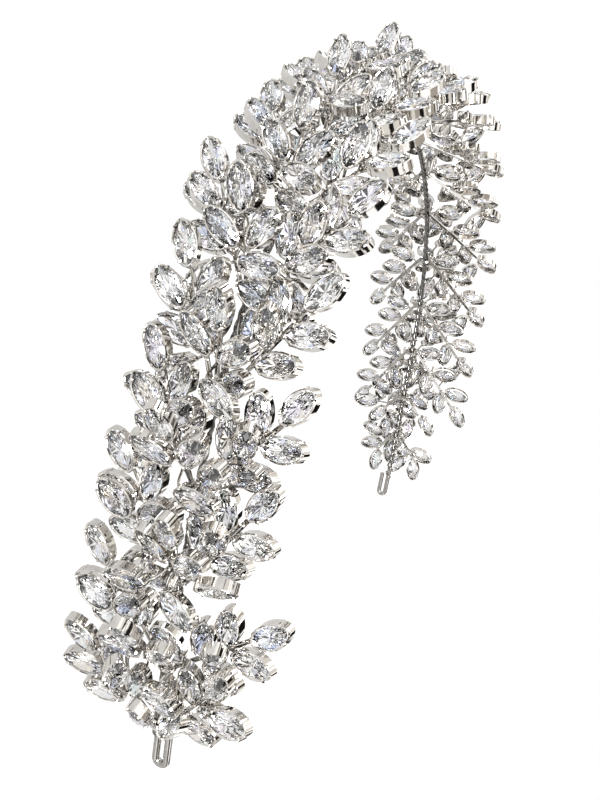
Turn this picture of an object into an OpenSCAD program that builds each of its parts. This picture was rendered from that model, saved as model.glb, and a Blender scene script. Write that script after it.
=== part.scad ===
// Crystal leaf headband: a wire spine bent to an arch, with a loop at each end, carries a row of
// leafy metal sprays. Every leaf is an open collet that holds one cut navette stone.
// The band lies on its side: X runs across the arch, Y up the arch and Z across the band.
// Distances named "along" are measured on the spine from the tip of the near loop.

/* [Arch] */
// Radius of the top of the arch
top_radius = 76.5; // [74:0.5:80]
// Angle of the top arc to each side of the apex
top_half_angle = 81; // [80:0.5:84]
// Radius of the two nearly straight legs
leg_radius = 400; // [350:10:450]
// Angle that each leg covers, its loop included
leg_angle = 10; // [9.8:0.1:11]
// Diameter of the wire of the spine and its loops
spine_d = 1.6; // [1.4:0.1:1.7]

/* [End loops] */
// Width over the loop's two sides
loop_width = 4.1; // [3.8:0.1:5]
// Length by which the loop's free end runs back beside the spine
free_end = 7.2; // [6:0.2:7.4]

/* [Sprays] */
// Number of sprays along the band
spray_count = 19; // [17:1:19]
// Distance along the spine to the first spray
first_spray = 11; // [11:0.5:12]
// Distance along the spine to the second spray
second_spray = 24.5; // [24:0.5:26]
// Distance between one spray and the next, from the second on
spray_pitch = 18.1; // [18:0.1:18.3]
// Distance between the last two sprays
last_pitch = 16.5; // [15:0.5:17]
// Share by which the sprigs of the far half are longer
far_reach = 0.16; // [0:0.02:0.2]
// Angle of a side sprig away from the spine
side_spread = 36; // [34:1:38]
// Angle by which a side sprig rises outward
side_rise = 8; // [7:1:10]
// Angle by which a crest sprig rises outward
crest_rise = 36; // [34:1:40]
// Diameter of a sprig's stem
stem_d = 1; // [0.9:0.1:1.2]
// Diameter of the stalk under a leaf
stalk_d = 0.8; // [0.7:0.1:1]

/* [Leaves] */
// Length of the navette stone
stone_length = 8; // [7:0.25:8]
// Width of the navette stone
stone_width = 4; // [3.5:0.25:4]
// Height of the stone above its girdle
stone_crown = 0.75; // [0.6:0.05:0.8]
// Depth of the stone below its girdle
stone_pavilion = 1.4; // [1.2:0.1:1.6]
// Height of the collet's wall
collet_height = 2.1; // [1.9:0.1:2.2]
// Thickness of the collet's wall
collet_wall = 0.35; // [0.3:0.05:0.4]
// Diameter of a prong wire
prong_d = 0.6; // [0.5:0.05:0.7]

/* [Binding] */
// Thickness of the layer of binding wire on the spine
wrap_thickness = 0.4; // [0.3:0.05:0.5]
// Distance from the tip of a loop to the binding wire
wrap_start = 8; // [6:0.5:10]
// Length of binding wire next to the near loop
near_wrap = 18; // [10:1:20]
// Length of binding wire next to the far loop
far_wrap = 60; // [40:1:60]

/* [Hidden] */
$fn = 24;
// Running gap between pieces that are put together
gap = 0.12;
// Wall of the collar that seats a spray on the spine
collar_wall = 0.55;
// Length of that collar along the spine
collar_length = 2.4;
// Height of the stone's girdle above the foot of its collet
girdle_height = collet_height - 0.15;
// Prongs stand this much above the collet's rim
prong_rise = 0.4;
// Share of the half length at which the prongs stand
prong_place = 0.78;
// Share of the outline that the stone's table keeps
table_share = 0.56;
// Length from the stem to the near tip of a leaf
stalk_length = 1.6;
// Number of sprays over which the sprigs grow longer, past the apex
reach_steps = 3;
// Direction across the band
ACROSS = [0, 0, 1];
// Steps round the bend of a loop, and sides of the wire's section
bend_steps = 8;
wire_sides = 6;
// Width of the band below the spine, down to the surface that it lies on
rest_height = 21.688;
// Place of the middle of the whole band in X and Y, from the centre of the top arc
middle = [0.405, 18.622];

// Angles added to the spread of the first sprays' sprigs. Columns: left one, right one
FIRST_SKEW = [
    [-2, -6],
    [4, 12],
    [5, -4],
    [13, 0],
    [13, 0],
    [4, 0],
    [11, 3],
    [8, -6],
];
// The right sprigs stand out a little more than the left ones
skew = 1.5;
// The first spray's side sprigs rise more, over the second spray's
first_rise = 6;

// Columns: distance along the stem, splay from the stem, upward tilt, roll about the leaf
SIDE_LEAVES = [
    [7, 44, 5, 8],
    [7, -44, 5, -8],
    [14.4, 42, 4, 8],
    [14.4, -42, 4, -8],
    [19.8, 0, 0, 0],
];
CREST_LEAVES = [
    [6.6, 42, 0, 6],
    [6.6, -42, 0, -6],
    [12, 0, 2, 0],
];
FIRST_SIDE_LEAVES = [
    [5.6, 44, 5, 8],
    [5.6, -44, 5, -8],
    [12.6, 42, 4, 8],
    [12.6, -42, 4, -8],
    [17.2, 0, 0, 0],
];
FIRST_CREST_LEAVES = [[6, 0, 0, 0]];
// The two sprays next to the far loop are short ones
LATE_SIDE_LEAVES = [[6, 0, 0, 0]];
LATE_CREST_LEAVES = [[5, 0, 0, 0]];
LAST_SIDE_LEAVES = [
    [4, -34, 4, 0],
    [7, 24, 0, 0],
];
LAST_CREST_LEAVES = [[4.5, 0, 0, 0]];

// A sprig is the left side one (-1), the crest one (0) or the right side one (1)
SPRIGS = [-1, 0, 1];
STATIONS = [0 : spray_count - 1];
half_count = floor(spray_count / 2);
function spray_name(i) = str("spray_", i < 9 ? "0" : "", i + 1);

// Arch: distances along the spine turned into places and directions
function arc_length(radius, angle) = radius * angle * PI / 180;
top_length = arc_length(top_radius, top_half_angle);
leg_length = arc_length(leg_radius, leg_angle);
arch_length = 2 * (top_length + leg_length);
function arc_angle(radius, length) = length / radius * 180 / PI;
function turn_from_apex(d) = d <= top_length
    ? arc_angle(top_radius, d)
    : top_half_angle + arc_angle(leg_radius, d - top_length);
leg_centre = (top_radius - leg_radius) * [sin(top_half_angle), cos(top_half_angle)];
function half_arch_place(d) = d <= top_length
    ? top_radius * [sin(turn_from_apex(d)), cos(turn_from_apex(d))]
    : leg_centre + leg_radius * [sin(turn_from_apex(d)), cos(turn_from_apex(d))];
function side_of(along) = along < arch_length / 2 ? -1 : 1;
function from_apex(along) = abs(along - arch_length / 2);
function arch_place(along) = [
    side_of(along) * half_arch_place(from_apex(along)).x,
    half_arch_place(from_apex(along)).y,
    0
];
function heading(along) = -side_of(along) * turn_from_apex(from_apex(along));

// Frame on the spine: X along it towards the far loop, Y outward, Z across the band
module on_spine(along) {
    translate([-middle.x, -middle.y, rest_height] + arch_place(along))
        rotate([0, 0, heading(along)])
            children();
}

// Small steady differences between one sprig or leaf and the next
function waver(i, k, size) = size * sin(137.5 * i + 71 * k);
middle_spray = (spray_count - 1) / 2;
late = spray_count - 2;
last = spray_count - 1;
function station(i) = i == 0
    ? first_spray
    : second_spray + (min(i, late) - 1) * spray_pitch + (i == last ? last_pitch : 0);
function is_bound(i) =
    station(i) < wrap_start + near_wrap || station(i) > arch_length - wrap_start - far_wrap;
function seat_radius(i) = spine_d / 2 + gap + (is_bound(i) ? wrap_thickness + gap : 0);
function stem_root(i) = seat_radius(i) + collar_wall;
function crest_leaves(i) =
    i == 0 ? FIRST_CREST_LEAVES : i == late ? LATE_CREST_LEAVES : i == last ? LAST_CREST_LEAVES : CREST_LEAVES;
function side_leaves(i) =
    i == 0 ? FIRST_SIDE_LEAVES : i == late ? LATE_SIDE_LEAVES : i == last ? LAST_SIDE_LEAVES : SIDE_LEAVES;
function leaves(i, side) = side == 0 ? crest_leaves(i) : side_leaves(i);
// Distance of a leaf along its stem; the sprigs grow longer past the apex
function reach(i) = 1 + far_reach * min(max(i - middle_spray, 0) / reach_steps, 1);
function leaf_distance(i, side, row) = leaves(i, side)[row][0] * reach(i);
// The last spray's two side sprigs mirror one another
function splay(i, side, row) =
    leaves(i, side)[row][1] * (i == last && side != 0 ? side : 1) + waver(i, row + 2 * side, 3);
function crest_lean(i) = 8 * (i % 2 == 0 ? 1 : -1);
function first_skew(i, side) = i < len(FIRST_SKEW) ? FIRST_SKEW[i][side < 0 ? 0 : 1] : 0;
function spread(i, side) = side == 0
    ? crest_lean(i) + waver(i, 3, 3)
    : side * (side_spread + waver(i, side, 2)) + skew + first_skew(i, side);
function rise(i, side) = side == 0
    ? crest_rise + waver(i, 5, 2)
    : side_rise + waver(i, side + 7, 1) + (i == 0 ? first_rise : 0);

// Frame of a sprig: X along its stem, Z out through the faces of its leaves
module on_sprig(i, side) {
    on_spine(station(i))
        rotate([-90, 0, 0])
            translate([0, -side * stem_root(i), side == 0 ? stem_root(i) : 0])
                rotate([0, -rise(i, side), -spread(i, side)])
                    children();
}

// Frame of a leaf: its near tip at the origin, X along the leaf, Z out through the table
module on_leaf(i, side, row) {
    leaf = leaves(i, side)[row];
    on_sprig(i, side)
        translate([leaf_distance(i, side, row), 0, 0])
            rotate([0, 0, splay(i, side, row)])
                translate([stalk_length, 0, 0])
                    rotate([leaf[3] + waver(i, row + 4, 4), -leaf[2] - waver(i, row + 8, 2), 0])
                        children();
}

// Navette outline: two arcs, with the tips cut round
function lens_radius(length, width) = (length * length + width * width) / (4 * width);
lens_length = stone_length * 1.12;
lens_r = lens_radius(lens_length, stone_width);
lens_offset = lens_r - stone_width / 2;
function lens_half_width(x) = sqrt(lens_r * lens_r - x * x) - lens_offset;

module navette(grow) {
    intersection() {
        translate([0, lens_offset]) circle(r = lens_r + grow, $fn = 96);
        translate([0, -lens_offset]) circle(r = lens_r + grow, $fn = 96);
        circle(r = stone_length / 2 + grow, $fn = 64);
    }
}

// Outline points of a stone, from the right tip round to the left and back
tip_x = stone_length / 2 * 0.965;
waist_x = stone_length / 2 * 0.42;
STONE_OUTLINE = [
    for (x = [tip_x, waist_x, -waist_x, -tip_x]) [x, lens_half_width(x)],
    for (x = [-tip_x, -waist_x, waist_x, tip_x]) [x, -lens_half_width(x)],
];

module stone() {
    n = len(STONE_OUTLINE);
    table = [for (p = STONE_OUTLINE) [p.x * table_share, p.y * table_share, stone_crown]];
    girdle = [for (p = STONE_OUTLINE) [p.x, p.y, 0]];
    culet = [[0, 0, -stone_pavilion]];
    faces = concat(
        [[for (k = [n - 1 : -1 : 0]) k]],
        [for (k = [0 : n - 1]) [k, (k + 1) % n, n + (k + 1) % n, n + k]],
        [for (k = [0 : n - 1]) [n + k, n + (k + 1) % n, 2 * n]]
    );
    color("aliceblue") polyhedron(concat(table, girdle, culet), faces);
}

leaf_middle = stone_length / 2 + gap + collet_wall;

module placed_stone() {
    translate([leaf_middle, 0, girdle_height]) stone();
}

// Collet: an open wall round the stone, with two pairs of prongs near the tips
module collet() {
    prong_x = prong_place * stone_length / 2;
    prong_y = lens_half_width(prong_x) + gap + collet_wall;
    translate([leaf_middle, 0, 0]) {
        linear_extrude(height = collet_height)
            difference() {
                navette(gap + collet_wall);
                navette(gap);
            }
        for (x = [-prong_x, prong_x], y = [-prong_y, prong_y])
            translate([x, y, 0])
                cylinder(d = prong_d, h = collet_height + prong_rise);
    }
}

// Collar: a half sleeve that seats the spray on the outside of the spine
module collar(i) {
    inner = seat_radius(i);
    outer = inner + collar_wall;
    on_spine(station(i))
        rotate([0, 90, 0])
            linear_extrude(height = collar_length, center = true)
                difference() {
                    circle(r = outer);
                    circle(r = inner);
                    translate([-outer - 1, -2 * outer - 0.3]) square([2 * outer + 2, 2 * outer]);
                }
}

module stem(i, side) {
    last_row = len(leaves(i, side)) - 1;
    on_sprig(i, side) {
        rotate([0, 90, 0])
            cylinder(d = stem_d, h = leaf_distance(i, side, last_row), $fn = 6);
        for (row = [0 : last_row])
            translate([leaf_distance(i, side, row), 0, 0])
                rotate([0, 90, splay(i, side, row)])
                    cylinder(d = stalk_d, h = stalk_length + collet_wall / 2, $fn = 4);
    }
}

module spray(i) {
    color("silver") {
        collar(i);
        for (side = SPRIGS) {
            stem(i, side);
            for (row = [0 : len(leaves(i, side)) - 1])
                on_leaf(i, side, row) collet();
        }
    }
}

module stones(from, to) {
    for (i = [from : to], side = SPRIGS)
        for (row = [0 : len(leaves(i, side)) - 1])
            on_leaf(i, side, row) placed_stone();
}

// One wire makes the spine and both loops. Each row is [place, direction, outward].
function on_arch(along) = [
    arch_place(along),
    [cos(heading(along)), sin(heading(along)), 0],
    [-sin(heading(along)), cos(heading(along)), 0],
];
loop_bend = (loop_width - spine_d) / 2;
loop_end = loop_bend + spine_d / 2;

// A point of a loop: the bend turns by the angle a, then the free end runs back beside the spine
function in_loop(far, a, back) =
    let (
        base = on_arch(far ? arch_length - loop_end : loop_end),
        ahead = far ? base[1] : -base[1],
        sideways = far ? -ACROSS : ACROSS,
        place = base[0] + loop_bend * (sin(a) * ahead + (1 - cos(a)) * sideways) - back * ahead,
        direction = cos(a) * ahead + sin(a) * sideways
    )
    [place, far ? direction : -direction, base[2]];
function loop_rows(far) = concat(
    [for (k = [0 : bend_steps]) in_loop(far, k * 180 / bend_steps, 0)],
    [in_loop(far, 180, free_end)]
);
function reversed(rows) = [for (k = [len(rows) - 1 : -1 : 0]) rows[k]];
arch_steps = 60;
WIRE = concat(
    reversed(loop_rows(false)),
    [for (k = [1 : arch_steps - 1]) on_arch(loop_end + (arch_length - 2 * loop_end) * k / arch_steps)],
    loop_rows(true)
);

// A round wire swept through rows of [place, direction, outward]
module swept_wire(rows, d, sides) {
    n = len(rows);
    points = [
        for (row = rows, k = [0 : sides - 1])
            row[0] + d / 2 * (cos(360 * k / sides) * row[2] + sin(360 * k / sides) * cross(row[1], row[2]))
    ];
    walls = [
        for (r = [0 : n - 2], k = [0 : sides - 1])
            [r * sides + k, (r + 1) * sides + k, (r + 1) * sides + (k + 1) % sides, r * sides + (k + 1) % sides]
    ];
    first_cap = [for (k = [0 : sides - 1]) k];
    last_cap = [for (k = [sides - 1 : -1 : 0]) (n - 1) * sides + k];
    polyhedron(points, concat(walls, [first_cap, last_cap]));
}

module spine() {
    color("silver")
        translate([-middle.x, -middle.y, rest_height])
            swept_wire(WIRE, spine_d, wire_sides);
}

// Binding wire, as a close sleeve round the spine on one leg
module binding(flip, from, length) {
    inner = spine_d / 2 + gap;
    end_angle = top_half_angle + leg_angle - arc_angle(leg_radius, from);
    span = arc_angle(leg_radius, length);
    color("gainsboro")
        translate([-middle.x, -middle.y, rest_height])
            mirror([flip, 0, 0])
                translate([leg_centre.x, leg_centre.y, 0])
                    rotate([0, 0, 90 - end_angle])
                        rotate_extrude(angle = span, $fn = 360)
                            translate([leg_radius, 0])
                                difference() {
                                    circle(r = inner + wrap_thickness, $fn = 32);
                                    circle(r = inner, $fn = 32);
                                }
}

spine();
binding(1, wrap_start, near_wrap);  // binding_near
binding(0, wrap_start, far_wrap);  // binding_far
for (i = STATIONS)
    spray(i);
stones(0, half_count - 1);  // stones_near
stones(half_count, spray_count - 1);  // stones_far
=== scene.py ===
# %% [markdown]
# # A crystal leaf headband
# The real piece is a row of leafy sprays on one wire that is bent to fit over a head. Each leaf is a
# metal collet with one cut navette stone, and the wire ends in a narrow loop on each side. The packed
# part gives every place and size. This lesson makes the surfaces that a camera sees: round wires,
# softened collets, bent claws, coils of binding wire and stones with all their facets.

import bpy
import numpy as np
from mathutils import Matrix, Vector


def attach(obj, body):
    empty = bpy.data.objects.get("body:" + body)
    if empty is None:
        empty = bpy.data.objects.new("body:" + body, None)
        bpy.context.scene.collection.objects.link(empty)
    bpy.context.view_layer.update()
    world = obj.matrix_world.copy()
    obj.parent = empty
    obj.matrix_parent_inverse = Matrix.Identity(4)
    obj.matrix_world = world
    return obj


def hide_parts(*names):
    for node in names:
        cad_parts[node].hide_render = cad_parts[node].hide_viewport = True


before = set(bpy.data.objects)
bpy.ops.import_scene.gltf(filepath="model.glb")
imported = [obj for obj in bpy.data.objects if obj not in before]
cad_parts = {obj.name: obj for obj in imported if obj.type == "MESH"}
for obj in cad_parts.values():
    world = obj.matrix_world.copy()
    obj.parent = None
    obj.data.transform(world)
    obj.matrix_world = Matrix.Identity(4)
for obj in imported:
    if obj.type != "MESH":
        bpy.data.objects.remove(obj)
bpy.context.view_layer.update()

# %% [markdown]
# ## The sizes of the band
# All the lengths below are in millimetres, and they are the ones that the part was made with. A shape
# is worked out in millimetres and turned to metres when its mesh is made, so the numbers stay easy to
# compare with a ruler held to the real thing.

# %% Sizes of the arch, the wire and the leaves
MM = 0.001
# Radius of the arch's top, and the angle that it covers on each side of the apex
TOP_RADIUS = 76.5
TOP_ANGLE = np.radians(81)
# The same for the two nearly straight legs
LEG_RADIUS = 400.0
LEG_ANGLE = np.radians(10)
# The spine's wire, the width over the two sides of a loop and the length of its free end
WIRE_D = 1.6
LOOP_WIDTH = 4.1
FREE_END = 7.2
# Number of sprays, and their places as distances along the wire
SPRAY_COUNT = 19
FIRST_SPRAY = 11.0
SECOND_SPRAY = 24.5
SPRAY_PITCH = 18.1
LAST_PITCH = 16.5
# Running gap between pieces that are put together
GAP = 0.12
# Binding wire: how thick it is, how far from a loop's tip it starts and how long it runs
WRAP_THICKNESS = 0.4
WRAP_START = 8.0
NEAR_WRAP = 18.0
FAR_WRAP = 60.0
COLLAR_WALL = 0.55
COLLAR_LENGTH = 2.4
STALK_D = 0.8
STALK_LENGTH = 1.6
STONE_LENGTH = 8.0
STONE_WIDTH = 4.0
STONE_CROWN = 0.75
STONE_PAVILION = 1.4
COLLET_HEIGHT = 2.1
COLLET_WALL = 0.35
# Middle of the band from the centre of the top arc, and the spine's height above the table
MIDDLE = np.array([0.405, 18.622, 0.0])
REST_HEIGHT = 21.688
ACROSS = np.array([0.0, 0.0, 1.0])

TOP_LENGTH = TOP_RADIUS * TOP_ANGLE
LEG_LENGTH = LEG_RADIUS * LEG_ANGLE
BAND_LENGTH = 2 * (TOP_LENGTH + LEG_LENGTH)
print(f"The wire of the arch is {BAND_LENGTH:.1f} mm long")

# %% [markdown]
# ## Places on the arch
# The arch is one large arc with two nearly straight legs. A place on it is told by its distance along
# the wire from the near loop, so a spray or a coil needs a single number to be put in place. The same
# function gives the two directions that go with it: along the wire, and outward.

# %% A place on the arch and its directions
LEG_CENTRE = (TOP_RADIUS - LEG_RADIUS) * np.array([np.sin(TOP_ANGLE), np.cos(TOP_ANGLE)])


def on_arch(along):
    """Place, direction along the wire and outward direction, for an array of distances.
    The distance from the apex is turned to an angle, on the top arc or on the leg's arc, and the
    sine and cosine of that angle give the place and both directions."""
    along = np.asarray(along, float)
    side = np.where(along < BAND_LENGTH / 2, -1.0, 1.0)
    far = np.abs(along - BAND_LENGTH / 2)
    turn = np.where(far <= TOP_LENGTH, far / TOP_RADIUS, TOP_ANGLE + (far - TOP_LENGTH) / LEG_RADIUS)
    ray = np.stack([np.sin(turn), np.cos(turn)], -1)
    flat = np.where((far <= TOP_LENGTH)[..., None], TOP_RADIUS * ray, LEG_CENTRE + LEG_RADIUS * ray)
    zero = np.zeros_like(turn)
    place = np.stack([side * flat[..., 0], flat[..., 1], zero + REST_HEIGHT], -1) - MIDDLE
    forward = np.stack([np.cos(turn), -side * np.sin(turn), zero], -1)
    outward = np.stack([side * np.sin(turn), np.cos(turn), zero], -1)
    return place, forward, outward


for name, distance in (("near end", 0), ("apex", BAND_LENGTH / 2), ("far end", BAND_LENGTH)):
    print(name, "of the wire at", on_arch(distance)[0].round(1))

# %% [markdown]
# ## Where every sprig and leaf stands
# A spray has a left sprig, a right one and a crest sprig that stands outward. Each sprig and each leaf
# has a frame, which is a table of four by four numbers: three directions and a place. A small steady
# difference between one leaf and the next keeps the row from looking stamped, as on the real one,
# where each sprig was bent by hand.

# %% The leaves of each sprig
# Columns: distance along the stem, splay from the stem, upward tilt, roll about the leaf
SIDE_LEAVES = [[7, 44, 5, 8], [7, -44, 5, -8], [14.4, 42, 4, 8], [14.4, -42, 4, -8], [19.8, 0, 0, 0]]
CREST_LEAVES = [[6.6, 42, 0, 6], [6.6, -42, 0, -6], [12, 0, 2, 0]]
FIRST_SIDE_LEAVES = [
    [5.6, 44, 5, 8], [5.6, -44, 5, -8], [12.6, 42, 4, 8], [12.6, -42, 4, -8], [17.2, 0, 0, 0],
]
FIRST_CREST_LEAVES = [[6, 0, 0, 0]]
LATE_SIDE_LEAVES = [[6, 0, 0, 0]]
LATE_CREST_LEAVES = [[5, 0, 0, 0]]
LAST_SIDE_LEAVES = [[4, -34, 4, 0], [7, 24, 0, 0]]
LAST_CREST_LEAVES = [[4.5, 0, 0, 0]]
# Angles added to the spread of the first sprays' sprigs. A search outside this script found them, so
# they are data and no rule. Columns: left one, right one
FIRST_SKEW = [[-2, -6], [4, 12], [5, -4], [13, 0], [13, 0], [4, 0], [11, 3], [8, -6]]
# The right sprigs stand out a little more than the left ones
SKEW = 1.5
# The first spray's side sprigs rise more, over the second spray's
FIRST_RISE = 6
SIDE_SPREAD = 36
SIDE_RISE = 8
CREST_RISE = 36
# A crest sprig leans along the wire by this angle, to one side and the other in turn
CREST_LEAN = 8
LEFT, CREST, RIGHT = -1, 0, 1
HALF_COUNT = SPRAY_COUNT // 2
LATE = SPRAY_COUNT - 2
LAST = SPRAY_COUNT - 1
MIDDLE_SPRAY = (SPRAY_COUNT - 1) / 2
# The sprigs grow longer by this share over three sprays past the apex
FAR_REACH = 0.16
REACH_STEPS = 3


def leaves_of(spray, side):
    """The table of a sprig's leaves. The first spray and the last two have fewer of them."""
    special = {0: (FIRST_CREST_LEAVES, FIRST_SIDE_LEAVES), LATE: (LATE_CREST_LEAVES, LATE_SIDE_LEAVES),
               LAST: (LAST_CREST_LEAVES, LAST_SIDE_LEAVES)}
    crest, flank = special.get(spray, (CREST_LEAVES, SIDE_LEAVES))
    return crest if side == CREST else flank


def reach(spray):
    """Factor on the distances along a sprig's stem: one up to the apex, and then slowly more."""
    return 1 + FAR_REACH * min(max(spray - MIDDLE_SPRAY, 0) / REACH_STEPS, 1)


def waver(spray, kind, size):
    """A small steady difference: a sine of the spray's number and of the kind of angle."""
    return size * np.sin(np.radians(137.5 * spray + 71 * kind))


def station(spray):
    """Distance along the wire at which a spray is seated."""
    if spray == 0:
        return FIRST_SPRAY
    return SECOND_SPRAY + (min(spray, LATE) - 1) * SPRAY_PITCH + (LAST_PITCH if spray == LAST else 0)


def seat_radius(spray):
    """Inner radius of a spray's collar: over the bare wire, or over the binding wire."""
    bound = station(spray) < WRAP_START + NEAR_WRAP or station(spray) > BAND_LENGTH - WRAP_START - FAR_WRAP
    return WIRE_D / 2 + GAP + (WRAP_THICKNESS + GAP if bound else 0)


# %% Frames that place the sprigs and leaves
def turned(x, y, z):
    """Frame turned about X, then Y, then Z, by angles in degrees."""
    (sx, sy, sz), (cx, cy, cz) = np.sin(np.radians([x, y, z])), np.cos(np.radians([x, y, z]))
    about_x = np.array([[1, 0, 0], [0, cx, -sx], [0, sx, cx]])
    about_y = np.array([[cy, 0, sy], [0, 1, 0], [-sy, 0, cy]])
    about_z = np.array([[cz, -sz, 0], [sz, cz, 0], [0, 0, 1]])
    made = np.eye(4)
    made[:3, :3] = about_z @ about_y @ about_x
    return made


def moved(x, y, z):
    """Frame moved by a length along each axis."""
    made = np.eye(4)
    made[:3, 3] = x, y, z
    return made


def spine_frame(along):
    """Frame on the wire: X along it, Y outward and Z across the band."""
    place, forward, outward = on_arch(along)
    made = np.eye(4)
    made[:3, :] = np.stack([forward, outward, ACROSS, place], 1)
    return made


def sprig_frame(spray, side):
    """Frame of a sprig: X along its stem and Z out through the faces of its leaves."""
    root = seat_radius(spray) + COLLAR_WALL
    if side == CREST:
        spread = (CREST_LEAN if spray % 2 == 0 else -CREST_LEAN) + waver(spray, 3, 3)
        rise = CREST_RISE + waver(spray, 5, 2)
    else:
        first = FIRST_SKEW[spray][0 if side == LEFT else 1] if spray < len(FIRST_SKEW) else 0
        spread = side * (SIDE_SPREAD + waver(spray, side, 2)) + SKEW + first
        rise = SIDE_RISE + waver(spray, side + 7, 1) + (FIRST_RISE if spray == 0 else 0)
    lean = turned(-90, 0, 0) @ moved(0, -side * root, root if side == CREST else 0)
    return spine_frame(station(spray)) @ lean @ turned(0, -rise, -spread)


def leaf_frame(spray, side, row):
    """Frame of a leaf: its near tip at the origin, X along it and Z out through the stone's table."""
    far, splay, tilt, roll = leaves_of(spray, side)[row]
    if spray == LAST and side != CREST:
        splay = splay * side
    splay = splay + waver(spray, row + 2 * side, 3)
    bend = turned(roll + waver(spray, row + 4, 4), -tilt - waver(spray, row + 8, 2), 0)
    place = moved(far * reach(spray), 0, 0) @ turned(0, 0, splay) @ moved(STALK_LENGTH, 0, 0)
    return sprig_frame(spray, side) @ place @ bend


SPRIGS = [(spray, side) for spray in range(SPRAY_COUNT) for side in (LEFT, CREST, RIGHT)]
LEAVES = [(spray, side, row) for spray, side in SPRIGS for row in range(len(leaves_of(spray, side)))]
LEAF_FRAMES = np.array([leaf_frame(*leaf) for leaf in LEAVES])
LEAF_SPRAY = np.array([leaf[0] for leaf in LEAVES])
print(len(SPRIGS), "sprigs carry", len(LEAVES), "leaves")

# %% [markdown]
# ## The inner leaves
# On the real band more leaves stand on the same stems and fill the row, so that the wire hardly shows.
# They are too many to be loose solids of the part, so they are made here. Each one climbs off a stem
# on its own stalk, into a place where no other leaf is, and then lies over the row. The rows below are
# data: a search outside this script tried places on a coarse grid and scored how well they fill the
# row. A rule that finds the free places here would be the better lesson.

# %% Frames of the inner leaves
# Columns: sprig, distance along its stem, splay, climb of the stalk, its length, pitch and roll of the leaf
NEAR_INNER_LEAVES = [
    [CREST, 6, -100, 75, 5, 15, -25],
    [RIGHT, 11, 20, 50, 2.4, 30, 25],
    [LEFT, 13.2, -75, 75, 3.6, 15, 0],
    [LEFT, 6, 100, 10, 1.6, -10, 0],
    [LEFT, 11, 20, 50, 5, 0, 25],
]
FAR_INNER_LEAVES = [
    [LEFT, 1.6, -130, 30, 5, 0, -25],
    [CREST, 4.5, 45, 75, 1.6, 30, -25],
    [RIGHT, 13.2, -100, 75, 3.6, 30, 0],
    [LEFT, 3, 75, 50, 1.6, -10, 25],
    [CREST, 3, -75, 75, 5, 30, 25],
    [LEFT, 13.2, -75, 75, 3.6, 15, -25],
]
FIRST_INNER_LEAVES = [
    [RIGHT, 4.5, 0, 75, 5, -10, -25],
    [LEFT, 12, -45, 75, 3.6, 0, 25],
]
LATE_INNER_LEAVES = [
    [CREST, 1.6, -75, 75, 1.6, -10, -25],
    [CREST, 3, 45, 75, 3.6, -25, 0],
    [LEFT, 4.5, 45, 10, 5, -10, 0],
    [CREST, 4.5, -100, 75, 5, 15, -25],
    [LEFT, 4.5, -100, 10, 2.4, 15, 0],
    [LEFT, 1.6, 75, 10, 2.4, -10, 0],
]
LAST_INNER_LEAVES = [
    [LEFT, 4.5, 130, 75, 2.4, 15, 0],
    [RIGHT, 1.6, -130, 75, 1.6, 30, 25],
    [LEFT, 3, -45, 75, 3.6, -25, 0],
    [CREST, 3, 130, 75, 5, 30, 0],
    [LEFT, 1.6, 75, 10, 2.4, -10, 0],
    [RIGHT, 6, 75, 30, 5, 0, 25],
]
# The same columns after the number of the spray, for leaves that only one spray has
SINGLE_INNER_LEAVES = [
    [0, RIGHT, 17.5, -45, 45, 5, 0, -30],
    [1, RIGHT, 4.5, 100, 40, 1.6, 10, 15],
    [2, CREST, 4.5, -65, 10, 5.5, -15, 15],
    [2, CREST, 7.5, 100, 75, 5.5, 10, 15],
    [2, RIGHT, 1.6, 100, 75, 3.6, 30, -20],
    [3, RIGHT, 4.5, 0, 75, 5.5, 30, 15],
    [3, RIGHT, 7.5, -30, 75, 3.6, 10, 15],
    [4, RIGHT, 1.6, -30, 75, 1.6, 30, 15],
    [5, LEFT, 1.6, -135, 75, 3.6, -15, 15],
    [5, RIGHT, 7.5, -100, 40, 3.6, -15, 15],
    [5, RIGHT, 4.5, -30, 40, 5.5, 10, 15],
    [6, LEFT, 1.6, -135, 75, 3.6, -15, 15],
    [6, RIGHT, 1.6, 100, 40, 5.5, 10, -20],
    [6, RIGHT, 7.5, -100, 10, 5.5, -15, -20],
    [7, CREST, 1.6, -65, 40, 1.6, 10, 15],
    [8, CREST, 4.5, 30, 75, 5.5, -15, 15],
    [13, RIGHT, 4.5, 65, 75, 3.6, -15, -20],
    [14, CREST, 7.5, -100, 75, 3.6, 10, -20],
    [14, RIGHT, 4.5, 65, 10, 5.5, -15, 15],
    [15, CREST, 4.5, -65, 10, 5.5, 30, -20],
    [16, LEFT, 4.5, 0, 75, 3.6, 10, 15],
    [16, RIGHT, 4.5, 65, 40, 5.5, -15, -20],
    [18, CREST, 4.5, 65, 75, 3.6, 10, 15],
]


def inner_leaves_of(spray):
    """The rows of a spray's inner leaves: its table's, and the single ones that are its own."""
    special = {0: FIRST_INNER_LEAVES, LATE: LATE_INNER_LEAVES, LAST: LAST_INNER_LEAVES}
    shared = special.get(spray, NEAR_INNER_LEAVES if spray < HALF_COUNT else FAR_INNER_LEAVES)
    return shared + [row for number, *row in SINGLE_INNER_LEAVES if number == spray]


def inner_frame(spray, side, far, splay, climb, stalk, pitch, roll):
    """Frame of an inner leaf: up the climbing stalk from its stem, then turned by pitch and roll."""
    splay = splay + waver(spray, 3 * side + far, 3)
    on_stem = sprig_frame(spray, side) @ moved(far * reach(spray), 0, 0)
    tip = on_stem @ turned(0, -climb, splay) @ moved(stalk, 0, 0)
    made = on_stem @ turned(0, 0, splay)
    made = made @ turned(roll + waver(spray, far + 4, 4), -pitch - waver(spray, far + 8, 2), 0)
    made[:3, 3] = tip[:3, 3]
    return made


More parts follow.
